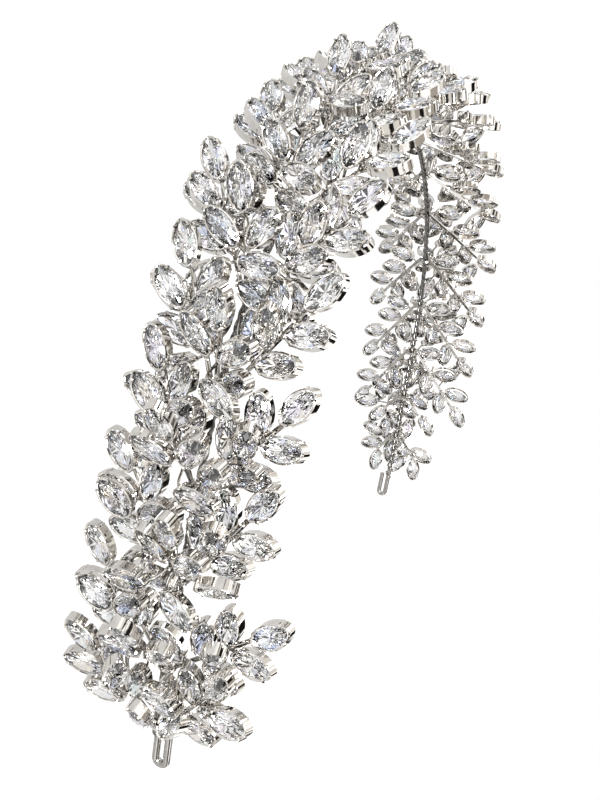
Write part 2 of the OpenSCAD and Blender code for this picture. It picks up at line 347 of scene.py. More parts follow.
INNER = [(spray, *row) for spray in range(SPRAY_COUNT) for row in inner_leaves_of(spray)]
INNER_FRAMES = np.array([inner_frame(*leaf) for leaf in INNER])
INNER_SPRAY = np.array([leaf[0] for leaf in INNER])
print(len(INNER), "inner leaves")

# %% [markdown]
# ## From arrays to meshes
# A shape here is a pair: an array of points, and a list of arrays of faces, where each row names the
# points of one face. Shapes can be repeated on many frames at once and joined, all as whole arrays.
# Blender takes such arrays through foreach_set, which is far quicker than adding vertices one by one.

# %% Join shapes, repeat them and make a mesh
def joined(shapes):
    """One shape from several: the points one after the other, and the faces' numbers moved on."""
    starts = np.cumsum([0] + [len(points) for points, _ in shapes])
    faces = [array + start for (_, arrays), start in zip(shapes, starts) for array in arrays]
    return np.concatenate([points for points, _ in shapes]), faces


def repeated(shape, frames):
    """The shape once on each frame: its points turned by the frame's directions and moved to its place."""
    points, arrays = shape
    count = len(points)
    spread = np.einsum("fij,pj->fpi", frames[:, :3, :3], points) + frames[:, None, :3, 3]
    shifts = np.arange(len(frames)) * count
    faces = [(array[None] + shifts[:, None, None]).reshape(-1, array.shape[1]) for array in arrays]
    return spread.reshape(-1, 3), faces


def make_mesh(name, shape, smooth_angle=None):
    """A Blender object from a shape in millimetres. Edges sharper than smooth_angle stay crisp, and
    with no angle every face is flat, as on a cut stone."""
    points, arrays = shape
    sizes = np.concatenate([np.full(len(array), array.shape[1]) for array in arrays])
    corners = np.concatenate([array.ravel() for array in arrays])
    mesh = bpy.data.meshes.new(name)
    mesh.vertices.add(len(points))
    mesh.vertices.foreach_set("co", (points * MM).astype(np.float32).ravel())
    mesh.loops.add(len(corners))
    mesh.loops.foreach_set("vertex_index", corners.astype(np.int32))
    mesh.polygons.add(len(sizes))
    mesh.polygons.foreach_set("loop_start", (np.cumsum(sizes) - sizes).astype(np.int32))
    mesh.polygons.foreach_set("use_smooth", np.full(len(sizes), smooth_angle is not None))
    mesh.update(calc_edges=True)
    mesh.validate()
    if smooth_angle is not None:
        mesh.set_sharp_from_angle(angle=np.radians(smooth_angle))
    piece = bpy.data.objects.new(name, mesh)
    bpy.context.scene.collection.objects.link(piece)
    return piece


def mark_faces(piece, name, values):
    """Keeps one number for each face, which a material can read by its name."""
    attribute = piece.data.attributes.new(name, "FLOAT", "FACE")
    attribute.data.foreach_set("value", np.asarray(values, np.float32))


def face_count(shape):
    """Number of faces of a shape."""
    return sum(len(array) for array in shape[1])


def seated(piece, slot, material, *nodes):
    """Gives a piece its finish, lets it ride on the band and says which solids it stands for."""
    piece.data.materials.append(material)
    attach(piece, "root")
    if nodes:
        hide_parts(*nodes)
    return piece


# %% [markdown]
# ## Round wire along a path
# Stems, stalks, claws, loops and coils are all round wire that follows a path. One function carries a
# circle along many paths at once. Each ring is square to the path, its radius may change on the way,
# and both ends are closed.

# %% Carry a circle along many paths
def unit(vectors):
    """Vectors divided by their own lengths."""
    return vectors / np.linalg.norm(vectors, axis=-1, keepdims=True)


def swept(paths, up, radii, sides):
    """Tubes along paths, an array of (path, point, 3). The ring at a point is the circle of the two
    directions square to the path: its cross product with up, and the cross product of both."""
    tangent = unit(np.gradient(paths, axis=1))
    across = unit(np.cross(tangent, np.broadcast_to(up, paths.shape)))
    raised = np.cross(across, tangent)
    angle = np.linspace(0, 2 * np.pi, sides, endpoint=False)
    ring = np.cos(angle)[:, None] * across[:, :, None] + np.sin(angle)[:, None] * raised[:, :, None]
    points = paths[:, :, None] + np.broadcast_to(radii, paths.shape[:2])[:, :, None, None] * ring
    count, length = paths.shape[:2]
    first = (np.arange(length - 1) * sides)[:, None] + np.arange(sides)
    beside = (np.arange(length - 1) * sides)[:, None] + (np.arange(sides) + 1) % sides
    walls = np.stack([first, first + sides, beside + sides, beside], -1).reshape(-1, 4)
    caps = np.stack([np.arange(sides), (length - 1) * sides + np.arange(sides)[::-1]])
    shift = (np.arange(count) * length * sides)[:, None, None]
    return points.reshape(-1, 3), [(walls + shift).reshape(-1, 4), (caps + shift).reshape(-1, sides)]


def bezier(start, pull, end, steps):
    """Quadratic curve from start to end, drawn towards pull, as an array of (path, point, 3)."""
    share = np.linspace(0, 1, steps)[None, :, None]
    start, pull, end = (point[:, None] for point in (start, pull, end))
    return (1 - share) ** 2 * start + 2 * share * (1 - share) * pull + share ** 2 * end


# %% [markdown]
# ## Colours and a helper for nodes
# Colours are written as the hex values that a colour picker shows. A shader works with linear light,
# so one function turns them. Another adds a shader node with its settings and its links in one line.

# %% Hex colours and one way to add a node
def colour(hex_value):
    """Linear colour of an sRGB hex value: the lowest part is divided, the rest raised to 2.4."""
    srgb = np.array([int(hex_value[k:k + 2], 16) / 255 for k in (1, 3, 5)])
    linear = np.where(srgb <= 0.04045, srgb / 12.92, ((srgb + 0.055) / 1.055) ** 2.4)
    return (*linear, 1.0)


def add_node(tree, kind, settings=None, links=None):
    """Adds a node. Settings are its properties, or its inputs' values where the name is an input's.
    Links join an input to another node's output."""
    node = tree.nodes.new(kind)
    for key, value in (settings or {}).items():
        if key in node.inputs:
            node.inputs[key].default_value = value
        else:
            setattr(node, key, value)
    for key, output in (links or {}).items():
        tree.links.new(output, node.inputs[key])
    return node


def new_material(name):
    """An empty node material with its output, as (material, tree, output node)."""
    material = bpy.data.materials.new(name)
    material.use_nodes = True
    material.node_tree.nodes.clear()
    return material, material.node_tree, add_node(material.node_tree, "ShaderNodeOutputMaterial")


def ramp(tree, source, stops, interpolation="LINEAR"):
    """A colour ramp with its stops as (place, colour)."""
    node = add_node(tree, "ShaderNodeValToRGB", links={"Fac": source})
    node.color_ramp.interpolation = interpolation
    while len(node.color_ramp.elements) < len(stops):
        node.color_ramp.elements.new(0.5)
    for element, (place, value) in zip(node.color_ramp.elements, stops):
        element.position = place
        element.color = value
    return node.outputs["Color"]


# %% [markdown]
# ## Polished plating, with painted shade on the wires
# The collets are brass strip with a rhodium plate, tumbled until they mirror: nearly white metal with a
# trace of warmth, very low roughness, and a faint unevenness a millimetre or two wide that makes the
# reflections wander. The stems, stalks and ties have their plate darkened: painted shade, for the dark
# that thin round wires mirror. The twisted spine has more painted shade still, and the loops at its
# ends half as much as its strands. A number on each face tells how much shade is painted on its metal.

# %% The metals
# Share of the plate's brightness that is left under the painted shade: on the sprays' wires, and on the
# strands
WIRE_SHADE_TONE = 0.7
STRAND_SHADE_TONE = 0.27
# The roughness wanders between these shares of its value
SMOOTHEST = 0.6
ROUGHEST = 1.5


def plated_metal(name, light, dark, roughness, grain_mm, bump_mm, shade_tone=WIRE_SHADE_TONE):
    """Metal whose colour and roughness change a little over grain_mm, with low bumps. Painted shade: its
    colour is multiplied by a number that goes from one to shade_tone as the face's painted_shade goes from 0
    to 1."""
    material, tree, output = new_material(name)
    place = add_node(tree, "ShaderNodeTexCoord").outputs["Object"]
    mottle = add_node(tree, "ShaderNodeTexNoise", {"Scale": 1 / (grain_mm * MM), "Detail": 3.0},
                      {"Vector": place}).outputs["Fac"]
    plate = ramp(tree, mottle, [(0.3, colour(dark)), (0.7, colour(light))])
    # Painted shade: a number on each face darkens the plate, for the dark that thin wires mirror
    painted_shade = add_node(tree, "ShaderNodeAttribute", {"attribute_name": "painted_shade"}).outputs["Fac"]
    shade_factor = add_node(tree, "ShaderNodeMapRange", {"To Min": 1.0, "To Max": shade_tone}, {"Value": painted_shade})
    tone = add_node(tree, "ShaderNodeVectorMath", {"operation": "SCALE"},
                    {"Vector": plate, "Scale": shade_factor.outputs["Result"]}).outputs["Vector"]
    matt = add_node(tree, "ShaderNodeMapRange",
                    {"To Min": roughness * SMOOTHEST, "To Max": roughness * ROUGHEST},
                    {"Value": mottle}).outputs["Result"]
    relief = add_node(tree, "ShaderNodeBump", {"Strength": 0.5, "Distance": bump_mm * MM},
                      {"Height": mottle}).outputs["Normal"]
    skin = add_node(tree, "ShaderNodeBsdfPrincipled", {"Metallic": 1.0},
                    {"Base Color": tone, "Roughness": matt, "Normal": relief})
    tree.links.new(skin.outputs["BSDF"], output.inputs["Surface"])
    return material


plating = plated_metal("rhodium_plated_brass", "#E6E3DF", "#D2CEC8", 0.07, 1.6, 0.03)
# The spine's metal gets the darkest painted shade
spine_plating = plated_metal("plated_wire_painted_shade", "#E6E3DF", "#C4C0BA", 0.10, 1.2, 0.02, STRAND_SHADE_TONE)
binding_wire_finish = plated_metal("bright_binding_wire", "#A29D97", "#7B7671", 0.16, 0.5, 0.02)
print("Metals:", [m.name for m in (plating, spine_plating, binding_wire_finish)])

# %% [markdown]
# ## Cut crystal
# The stones are clear cut crystal, ground flat on every facet and polished. The glass has no colour of
# its own. What the eye sees is the room, broken up by the facets: white where a facet finds a lamp,
# black where it finds a shadow, and here and there a faint blue, lilac or green flash where the glass
# splits the light. The flash is a steady number on each facet, turned to a pale tint.

# %% The crystal
# Columns: the lowest number that gives a facet this tint, and the tint
FLASH_TINTS = [
    [0.0, "#FFFFFF"], [0.72, "#FFF4E6"], [0.84, "#EFE6FF"],
    [0.88, "#E2F6F2"], [0.91, "#DFE9FF"], [0.97, "#B9CCFF"],
]
# Index of refraction, above the 1.6 or so of real crystal, so that the facets stand out more
CRYSTAL_IOR = 2.0


def cut_crystal(name):
    """Clear glass with a pale tint on a few facets, by the facet's own number."""
    material, tree, output = new_material(name)
    flash = add_node(tree, "ShaderNodeAttribute", {"attribute_name": "flash"}).outputs["Fac"]
    tint = ramp(tree, flash, [(lowest, colour(tone)) for lowest, tone in FLASH_TINTS], "CONSTANT")
    glass = add_node(tree, "ShaderNodeBsdfPrincipled",
                     {"Transmission Weight": 1.0, "IOR": CRYSTAL_IOR, "Roughness": 0.0}, {"Base Color": tint})
    tree.links.new(glass.outputs["BSDF"], output.inputs["Surface"])
    return material


crystal = cut_crystal("cut_crystal_glass")

# %% [markdown]
# ## The outline of a leaf
# A navette is the overlap of two circles, with its tips ground round. Half its width at a place along
# it is the circle's height there, and a factor brings it smoothly to nothing at the tip. Points are
# set closer together where the outline turns, so that two dozen of them are enough for round tips.
# The direction square to the outline lets the same outline grow for the collet.

# %% Points round a navette
# The circles' overlap is longer than the stone by this factor, because its tips are ground round
LENS_STRETCH = 1.12
LENS_RADIUS = ((LENS_STRETCH * STONE_LENGTH) ** 2 + STONE_WIDTH ** 2) / (4 * STONE_WIDTH)
LENS_OFFSET = LENS_RADIUS - STONE_WIDTH / 2
HALF_LENGTH = STONE_LENGTH / 2
LEAF_MIDDLE = HALF_LENGTH + GAP + COLLET_WALL
# The stone's edge lies this far below the collet's rim
GIRDLE_DROP = 0.15
GIRDLE_HEIGHT = COLLET_HEIGHT - GIRDLE_DROP
# The higher the power, the more suddenly the outline closes at its tips
TIP_POWER = 16
# Points of the fine outline that is measured, and of the one that is kept
FINE_POINTS = 4001
COLLET_POINTS = 24


def half_width(x):
    """Half the navette's width at x: the circle's height, brought to nothing at the tip."""
    arc = np.sqrt(LENS_RADIUS ** 2 - x ** 2) - LENS_OFFSET
    return arc * np.sqrt(np.clip(1 - (np.abs(x) / HALF_LENGTH) ** TIP_POWER, 0, 1))


def navette(count):
    """Points round the outline and the directions square to it. A quarter is walked by a mix of the
    distance and of the angle turned through, and it is mirrored to the other three."""
    x = HALF_LENGTH * np.sin(np.linspace(0, np.pi / 2, FINE_POINTS))
    dense = np.stack([x, half_width(x)], 1)
    step = np.diff(dense, axis=0)
    length = np.concatenate([[0], np.cumsum(np.linalg.norm(step, axis=1))])
    heading = -np.unwrap(np.arctan2(step[:, 1], step[:, 0]))
    turned_by = np.concatenate([[0], heading - heading[0]])
    walked = 0.5 * length / length[-1] + 0.5 * turned_by / turned_by[-1]
    stops = np.linspace(0, 1, count // 4 + 1)
    quarter = np.stack([np.interp(stops, walked, dense[:, k]) for k in (0, 1)], 1)
    upper = quarter[::-1]
    ring = np.concatenate([upper, upper[::-1][1:] * [-1, 1],
                           upper[1:] * [-1, -1], upper[::-1][1:-1] * [1, -1]])
    tangent = unit(np.roll(ring, -1, 0) - np.roll(ring, 1, 0))
    return ring, np.stack([tangent[:, 1], -tangent[:, 0]], 1)


outline, _ = navette(COLLET_POINTS)
print("Points round a navette:", len(outline), "from", outline.min(0).round(2), "to", outline.max(0).round(2))

# %% [markdown]
# ## The collets
# Each leaf's collet is a strip of metal bent round the stone and closed at the tip. It is made by
# carrying a small closed section, with its upper rim rounded, round the outline of the leaf. The
# section's rows are (growth from the stone, height), so a point of it is the outline plus the growth
# times the direction square to it.

# %% A collet wall
WALL_IN = GAP
WALL_OUT = GAP + COLLET_WALL
# Columns: growth from the stone's outline, height above the foot of the collet
COLLET_SECTION = np.array([
    [WALL_IN, 0.04], [WALL_IN, COLLET_HEIGHT - 0.08], [WALL_IN + 0.16, COLLET_HEIGHT],
    [WALL_OUT, COLLET_HEIGHT - 0.14], [WALL_OUT, 0.0],
])


def collet(count):
    """The section carried round the outline, as a closed ring of quads."""
    ring, out = navette(count)
    rows = len(COLLET_SECTION)
    flat = ring[:, None] + COLLET_SECTION[None, :, :1] * out[:, None]
    height = np.broadcast_to(COLLET_SECTION[None, :, 1:], (len(ring), rows, 1))
    points = np.concatenate([flat, height], 2) + [LEAF_MIDDLE, 0, 0]
    here = (np.arange(len(ring)) * rows)[:, None] + np.arange(rows)
    there = np.roll(here, -1, 0)
    quads = np.stack([here, np.roll(here, -1, 1), np.roll(there, -1, 1), there], -1)
    return points.reshape(-1, 3), [quads.reshape(-1, 4)]


# %% [markdown]
# ## The claws
# Four claws hold each stone, a pair beside each tip. Each is a short round wire that runs up the
# outside of the collet and bends in over the stone's edge, where it was filed to a small bead.

# %% Four claws on a collet
X_WAY = np.array([1.0, 0.0, 0.0])
CLAW_PLACE = 0.78 * HALF_LENGTH
CLAW_OUT = float(np.sqrt(LENS_RADIUS ** 2 - CLAW_PLACE ** 2) - LENS_OFFSET) + GAP + COLLET_WALL
CLAW_SIDES = 5
# Share of its inward reach by which a claw leans towards the middle of the leaf
CLAW_LEAN = 0.25
# Columns: inward reach, height, radius of the wire
CLAW_STEPS = np.array([
    [0.0, 0.02, 0.27], [0.02, 1.98, 0.27], [0.36, 2.30, 0.33], [0.66, 2.22, 0.13],
])


def claws():
    """Four mirrored paths: height on the outside of the wall, then inward over the stone."""
    signs = np.array([[-1, -1], [-1, 1], [1, -1], [1, 1]])
    reach, height, radius = CLAW_STEPS.T
    x = signs[:, :1] * (CLAW_PLACE - CLAW_LEAN * reach)
    y = signs[:, 1:] * (CLAW_OUT - reach)
    paths = np.stack([x + LEAF_MIDDLE, y, np.broadcast_to(height, x.shape)], -1)
    return swept(paths, X_WAY, radius, CLAW_SIDES)


leaf_metal = joined([collet(COLLET_POINTS), claws()])
print("Faces of one collet with its claws:", face_count(leaf_metal))

# %% [markdown]
# ## Stems and stalks
# Each sprig has one stem of two wires that lie side by side, which shows as a bright double line. Every
# leaf joins it by a stalk that leaves in a smooth curve, as a twig does, and ends inside the wall of
# its collet. The stem tapers a little towards its last leaf.

# %% Curved wires of the sprigs
STEM_WIRE_D = 0.54
STEM_STEPS = 14
STALK_STEPS = 7
TWIG_SIDES = 8
# A stem starts this far inside its collar, runs this far past its last stalk and bows up by this much
STEM_TUCK = 0.7
STEM_PAST = 0.9
STEM_BOW = 0.10
# Its radius at the root as a share of the wire's, and the share that it loses up to the tip
STEM_ROOT = 1.02
STEM_TAPER = 0.16
# A stalk leaves the stem this far before its leaf's place, and its curve is drawn towards this far past it
STALK_BACK = 0.75
STALK_PULL = 0.25
# Points in a leaf's own frame: the stalk's end inside the collet's wall, and the pull of an inner stalk
STALK_SEAT = [GAP + COLLET_WALL * 0.6, 0, 0.25]
INNER_PULL = [-1.1, 0, 0.05]
STALK_RADII = STALK_D / 2 * np.linspace(0.72, 0.82, STALK_STEPS)


def sprig_points(frames, offsets):
    """Points given in the sprigs' own frames, turned to the band's."""
    return np.einsum("nij,nj->ni", frames[:, :3, :3], offsets) + frames[:, :3, 3]


def stems(spray):
    """The three stems of a spray, as pairs of wires a wire's width apart, thinner towards the tip."""
    sprigs = [(spray, side) for side in (LEFT, CREST, RIGHT)]
    frames = np.array([sprig_frame(*sprig) for sprig in sprigs])
    tips = np.array([leaves_of(*sprig)[-1][0] * reach(spray) + STEM_PAST for sprig in sprigs])
    share = np.linspace(0, 1, STEM_STEPS)
    offsets = np.zeros((len(sprigs), STEM_STEPS, 3))
    offsets[..., 0] = -STEM_TUCK + share * (tips[:, None] + STEM_TUCK)
    offsets[..., 2] = STEM_BOW * np.sin(np.pi * share)
    paths = np.einsum("nij,nsj->nsi", frames[:, :3, :3], offsets) + frames[:, None, :3, 3]
    aside = frames[:, None, :3, 1] * STEM_WIRE_D / 2
    radii = STEM_WIRE_D / 2 * (STEM_ROOT - STEM_TAPER * share)
    up = np.tile(frames[:, None, :3, 2], (2, 1, 1))
    return swept(np.concatenate([paths - aside, paths + aside]), up, radii, TWIG_SIDES)


def stalks(spray):
    """The curved stalks of a spray's leaves."""
    leaves = [leaf for leaf in LEAVES if leaf[0] == spray]
    frames = np.array([sprig_frame(*leaf[:2]) for leaf in leaves])
    own = np.array([leaf_frame(*leaf) for leaf in leaves])
    far = np.array([leaves_of(*leaf[:2])[leaf[2]][0] for leaf in leaves]) * reach(spray)
    zero = np.zeros_like(far)
    start = sprig_points(frames, np.stack([far - STALK_BACK, zero, zero], 1))
    pull = sprig_points(frames, np.stack([far + STALK_PULL, zero, zero], 1))
    end = sprig_points(own, np.tile(STALK_SEAT, (len(leaves), 1)))
    return swept(bezier(start, pull, end, STALK_STEPS), frames[:, None, :3, 2], STALK_RADII, TWIG_SIDES)


def inner_stalks(sprays):
    """Stalks of the inner leaves: from inside a stem, up, and over into the foot of the collet."""
    rows = [leaf for leaf in INNER if leaf[0] in sprays]
    stem_frames = np.array([sprig_frame(*row[:2]) @ moved(row[2] * reach(row[0]), 0, 0) for row in rows])
    own = np.array([inner_frame(*row) for row in rows])
    start = stem_frames[:, :3, 3]
    end = sprig_points(own, np.tile(STALK_SEAT, (len(rows), 1)))
    pull = sprig_points(own, np.tile(INNER_PULL, (len(rows), 1)))
    return swept(bezier(start, pull, end, STALK_STEPS), stem_frames[:, None, :3, 1], STALK_RADII, TWIG_SIDES)


# %% [markdown]
# ## Collars
# A spray is seated on the wire by a half sleeve on its outer side. The sleeve is a bent strip: a small
# rounded section carried through half a turn. Two turns of fine wire tie it down.

# %% A collar and its tie
COLLAR_STEPS = 17
# What is cut off the section's inner and outer corners. Columns: outward, along the spine
COLLAR_CUTS = [[0.12, 0.1], [0.14, 0.16]]
# Angle by which the sleeve goes past half a turn on each side, in radians
COLLAR_PAST = 0.04
TIE_D = 0.3
TIE_TURNS = 2.0
TIE_PITCH = 0.42
TIE_STEPS = 48
TIE_SIDES = 6
# The tie bites this deep into the collar
TIE_SINK = 0.02


def collar(spray):
    """Half sleeve: a rounded rectangle of radius and length, carried through half a turn."""
    inner, half = seat_radius(spray), COLLAR_LENGTH / 2
    outer = inner + COLLAR_WALL
    (inner_out, inner_along), (outer_out, outer_along) = COLLAR_CUTS
    section = np.array([
        [inner, -half + inner_along], [inner, half - inner_along],
        [inner + inner_out, half], [outer - outer_out, half],
        [outer, half - outer_along], [outer, -half + outer_along],
        [outer - outer_out, -half], [inner + inner_out, -half],
    ])
    angle = np.linspace(-COLLAR_PAST, np.pi + COLLAR_PAST, COLLAR_STEPS)
    ray = np.stack([np.zeros_like(angle), np.sin(angle), np.cos(angle)], 1)
    points = section[None, :, :1] * ray[:, None] + section[None, :, 1:] * X_WAY
    rows = len(section)
    here = (np.arange(COLLAR_STEPS - 1) * rows)[:, None] + np.arange(rows)
    there = here + rows
    walls = np.stack([here, there, np.roll(there, -1, 1), np.roll(here, -1, 1)], -1).reshape(-1, 4)
    caps = np.stack([np.arange(rows), (COLLAR_STEPS - 1) * rows + np.arange(rows)[::-1]])
    return repeated((points.reshape(-1, 3), [walls, caps]), spine_frame(station(spray))[None])


def tie(spray):
    """Two turns of fine wire round the collar and the spine."""
    angle = np.linspace(0, 2 * np.pi * TIE_TURNS, TIE_STEPS)
    outer = seat_radius(spray) + COLLAR_WALL - TIE_SINK + TIE_D / 2
    along = (angle / (2 * np.pi) - TIE_TURNS / 2) * TIE_PITCH
    path = np.stack([along, outer * np.sin(angle), outer * np.cos(angle)], 1)
    frame_here = spine_frame(station(spray))
    path = path @ frame_here[:3, :3].T + frame_here[:3, 3]
    return swept(path[None], frame_here[:3, 0], TIE_D / 2, TIE_SIDES)


# %% [markdown]
# ## The sprays
# Now each spray can be joined to one piece of metal, as the real one is soldered, and put in the place
# of its solid. The inner leaves' metal is two pieces more, one on each half of the band.

# %% Make the sprays
# Edges of the sprays' metal that are sharper than this stay crisp, in degrees
METAL_CREASE = 42
metal_faces = 0
for spray in range(SPRAY_COUNT):
    own_frames = LEAF_FRAMES[LEAF_SPRAY == spray]
    parts = [repeated(leaf_metal, own_frames), stems(spray), stalks(spray), collar(spray), tie(spray)]
    name = f"spray_{spray + 1:02d}"
    piece = make_mesh(name + "_metal", joined(parts), METAL_CREASE)
    # Painted shade on the stems, stalks and ties, none on the collets and collars
    mark_faces(piece, "painted_shade", np.repeat([0.0, 1.0, 1.0, 0.0, 1.0], [face_count(part) for part in parts]))
    seated(piece, "silver_sprays", plating, name)
    metal_faces += len(piece.data.polygons)
for half, sprays in (("near", range(HALF_COUNT)), ("far", range(HALF_COUNT, SPRAY_COUNT))):
    own_frames = INNER_FRAMES[np.isin(INNER_SPRAY, sprays)]
    parts = [repeated(leaf_metal, own_frames), inner_stalks(sprays)]
    piece = make_mesh(f"inner_leaves_{half}_metal", joined(parts), METAL_CREASE)
    # Painted shade on the inner leaves' stalks, none on their collets
    mark_faces(piece, "painted_shade", np.repeat([0.0, 1.0], [face_count(part) for part in parts]))
    seated(piece, "silver_sprays", plating)
    metal_faces += len(piece.data.polygons)
print(SPRAY_COUNT, "sprays and the inner leaves with", metal_faces, "faces")

# %% [markdown]
# ## The stones
# A brilliant navette has a flat table, eight star facets, eight kites and sixteen upper halves above
# its edge, and eight mains and sixteen lower halves below it. Its points lie on rings: the table, the
# middle of the crown, the edge, the middle of the pavilion, and the lowest point. Each ring is the
# outline drawn smaller by a share.

# %% Cut one navette stone
GIRDLE_HALF = 0.05
# Shares of the outline kept by the table and by the rings in the crown and the pavilion
TABLE_SHARE = 0.56
STAR_SHARE = 0.80
DEEP_SHARE = 0.34
# How far up the crown and down the pavilion those two rings lie, as shares
STAR_LEVEL = 0.58
DEEP_LEVEL = 0.74
# The stone ends just short of the outline's tips
TIP_SHARE = 0.985


def brilliant():
    """Rings of the outline at sixteen angles, joined to the facets of a brilliant cut."""
    angle = np.arange(16) * 2 * np.pi / 16
    x = HALF_LENGTH * TIP_SHARE * np.cos(angle)
    side = np.sign(np.round(np.sin(angle), 9))
    outline = np.stack([x, side * half_width(x)], 1)
    main, half = np.arange(0, 16, 2), np.arange(1, 16, 2)

    def ring(choice, share, height):
        return np.column_stack([outline[choice] * share, np.full(len(choice), height)])

    table = ring(main, TABLE_SHARE, STONE_CROWN)
    star = ring(half, STAR_SHARE, STONE_CROWN * STAR_LEVEL)
    upper = ring(np.arange(16), 1.0, GIRDLE_HALF)
    lower = ring(np.arange(16), 1.0, -GIRDLE_HALF)
    deep = ring(half, DEEP_SHARE, -STONE_PAVILION * DEEP_LEVEL)
    rings = [table, star, upper, lower, deep]
    points = np.concatenate([*rings, [[0, 0, -STONE_PAVILION]]])
    table_at, star_at, upper_at, lower_at, deep_at, point_at = np.cumsum([0] + [len(row) for row in rings])
    here = np.arange(8)
    after = (here + 1) % 8
    before = (here - 1) % 8
    kites = np.stack([table_at + here, star_at + before, upper_at + 2 * here, star_at + here], 1)
    stars = np.stack([table_at + here, star_at + here, table_at + after], 1)
    left = np.stack([star_at + here, upper_at + 2 * here, upper_at + 2 * here + 1], 1)
    right = np.stack([star_at + here, upper_at + 2 * here + 1, upper_at + 2 * after], 1)
    around = np.arange(16)
    ahead = (around + 1) % 16
    edge = np.stack([upper_at + around, lower_at + around, lower_at + ahead, upper_at + ahead], 1)
    mains = np.stack([np.full(8, point_at), deep_at + here, lower_at + 2 * here, deep_at + before], 1)
    low_left = np.stack([deep_at + here, lower_at + 2 * here + 1, lower_at + 2 * here], 1)
    low_right = np.stack([deep_at + here, lower_at + 2 * after, lower_at + 2 * here + 1], 1)
    return points + [LEAF_MIDDLE, 0, GIRDLE_HEIGHT], [
        here[None], np.concatenate([kites, edge, mains]),
        np.concatenate([stars, left, right, low_left, low_right]),
    ]


stone = brilliant()
print("Facets of a stone:", face_count(stone))

# %% Set the stones
rng = np.random.default_rng(7)
STONE_SETS = [
    ("stones_near", LEAF_FRAMES[LEAF_SPRAY < HALF_COUNT], ["stones_near"]),
    ("stones_far", LEAF_FRAMES[LEAF_SPRAY >= HALF_COUNT], ["stones_far"]),
    ("inner_stones", INNER_FRAMES, []),
]
for name, frames, nodes in STONE_SETS:
    piece = make_mesh(name + "_cut", repeated(stone, frames))
    mark_faces(piece, "flash", rng.random(len(piece.data.polygons)))
    seated(piece, "crystal", crystal, *nodes)
    print(piece.name, "has", len(frames), "stones")

# %% [markdown]
# ## The spine and its loops
# Three strands are twisted to make the spine, so it shows slanting bright and dark bands. At each end
# they go over into one round wire that turns back on itself, as a narrow loop. A strand's path is a
# helix about the arch: outward times the sine of the turn, and across times its cosine.

# %% The spine wire
LOOP_BEND = (LOOP_WIDTH - WIRE_D) / 2
# The wire of the solid has six flat sides, so a round one keeps this much further in at the loops' tips
TIP_ROOM = 0.1
LOOP_END = LOOP_BEND + WIRE_D / 2 + TIP_ROOM
BEND_STEPS = 18
FREE_STEPS = 8
LOOP_SIDES = 20


def loop_path(far):
    """Half circle and free end of a loop, from the arch outward: cosine and sine of the turn along
    the wire and across the band."""
    place, forward, _ = on_arch(BAND_LENGTH - LOOP_END if far else LOOP_END)
    ahead, sideways = (forward, -ACROSS) if far else (-forward, ACROSS)
    turn = np.linspace(0, np.pi, BEND_STEPS)[:, None]
    bend = place + LOOP_BEND * (np.sin(turn) * ahead + (1 - np.cos(turn)) * sideways)
    back = np.linspace(0, FREE_END, FREE_STEPS)[1:, None]
    return np.concatenate([bend, bend[-1] - back * ahead])


# Distance from a loop's tip at which the round wire goes over into the strands, under the binding
JOIN = 12.0
JOIN_STEPS = 6
STRANDS = 3
STRAND_D = 0.8
STRAND_PITCH = 7.5
STRAND_STEPS = 640
STRAND_SIDES = 10
# The strands run on into the round wires by this length
STRAND_OVERLAP = 1
SPINE_CREASE = 50
# Share of the strands' painted shade that the loops get, from none at 0 to all of it at 1
LOOP_SHADE = 0.5


def end_wires():
    """Both loops, each with the first stretch of the arch. The second is the first one's mirror run."""
    near_stretch = on_arch(np.linspace(LOOP_END, JOIN, JOIN_STEPS))[0][1:]
    far_stretch = on_arch(BAND_LENGTH - np.linspace(LOOP_END, JOIN, JOIN_STEPS))[0][1:]
    paths = np.stack([np.concatenate([loop_path(False)[::-1], near_stretch]),
                      np.concatenate([loop_path(True)[::-1], far_stretch])])
    _, _, outward = on_arch(np.array([LOOP_END, BAND_LENGTH - LOOP_END]))
    return swept(paths, outward[:, None], WIRE_D / 2, LOOP_SIDES)


def twisted_strands():
    """Helices about the arch, evenly turned from one another."""
    along = np.linspace(JOIN - STRAND_OVERLAP, BAND_LENGTH - JOIN + STRAND_OVERLAP, STRAND_STEPS)
    place, _, outward = on_arch(along)
    start = np.arange(STRANDS)[:, None] / STRANDS
    angle = 2 * np.pi * (along / STRAND_PITCH + start)[..., None]
    ray = np.sin(angle) * outward + np.cos(angle) * ACROSS
    return swept(place + (WIRE_D - STRAND_D) / 2 * ray, ray, STRAND_D / 2, STRAND_SIDES)


wires = [end_wires(), twisted_strands()]
spine = make_mesh("spine_wire", joined(wires), SPINE_CREASE)
# Painted shade: all of it on the strands, a share of it on the loops
mark_faces(spine, "painted_shade", np.repeat([LOOP_SHADE, 1.0], [face_count(wire) for wire in wires]))
seated(spine, "silver_wire", spine_plating, "spine")
print("The spine has", STRANDS, "strands that turn once in", STRAND_PITCH, "mm")

# %% [markdown]
# ## Binding wire
# Next to each loop the spine is bound with fine wire. The turns lie close at the near loop, and open
# on the far leg, where they show as a row of beads. The path of a coil is a circle about the spine
# whose centre moves on by the same length each turn.

# %% Coils of binding wire
CLOSE_PITCH = 0.44
OPEN_PITCH = 3.3
COIL_SIDES = 6
TURN_STEPS = 14
COIL_CREASE = 80


def coil(start, length, pitch):
    """A helix about the arch: outward times the sine of the turn and across times its cosine."""
    turns = length / pitch
    share = np.linspace(0, 1, int(turns * TURN_STEPS))
    place, forward, outward = on_arch(start + share * length)
    angle = (2 * np.pi * turns * share)[:, None]
    radius = WIRE_D / 2 + GAP + WRAP_THICKNESS / 2
    path = place + radius * (np.sin(angle) * outward + np.cos(angle) * ACROSS)
    return path, forward


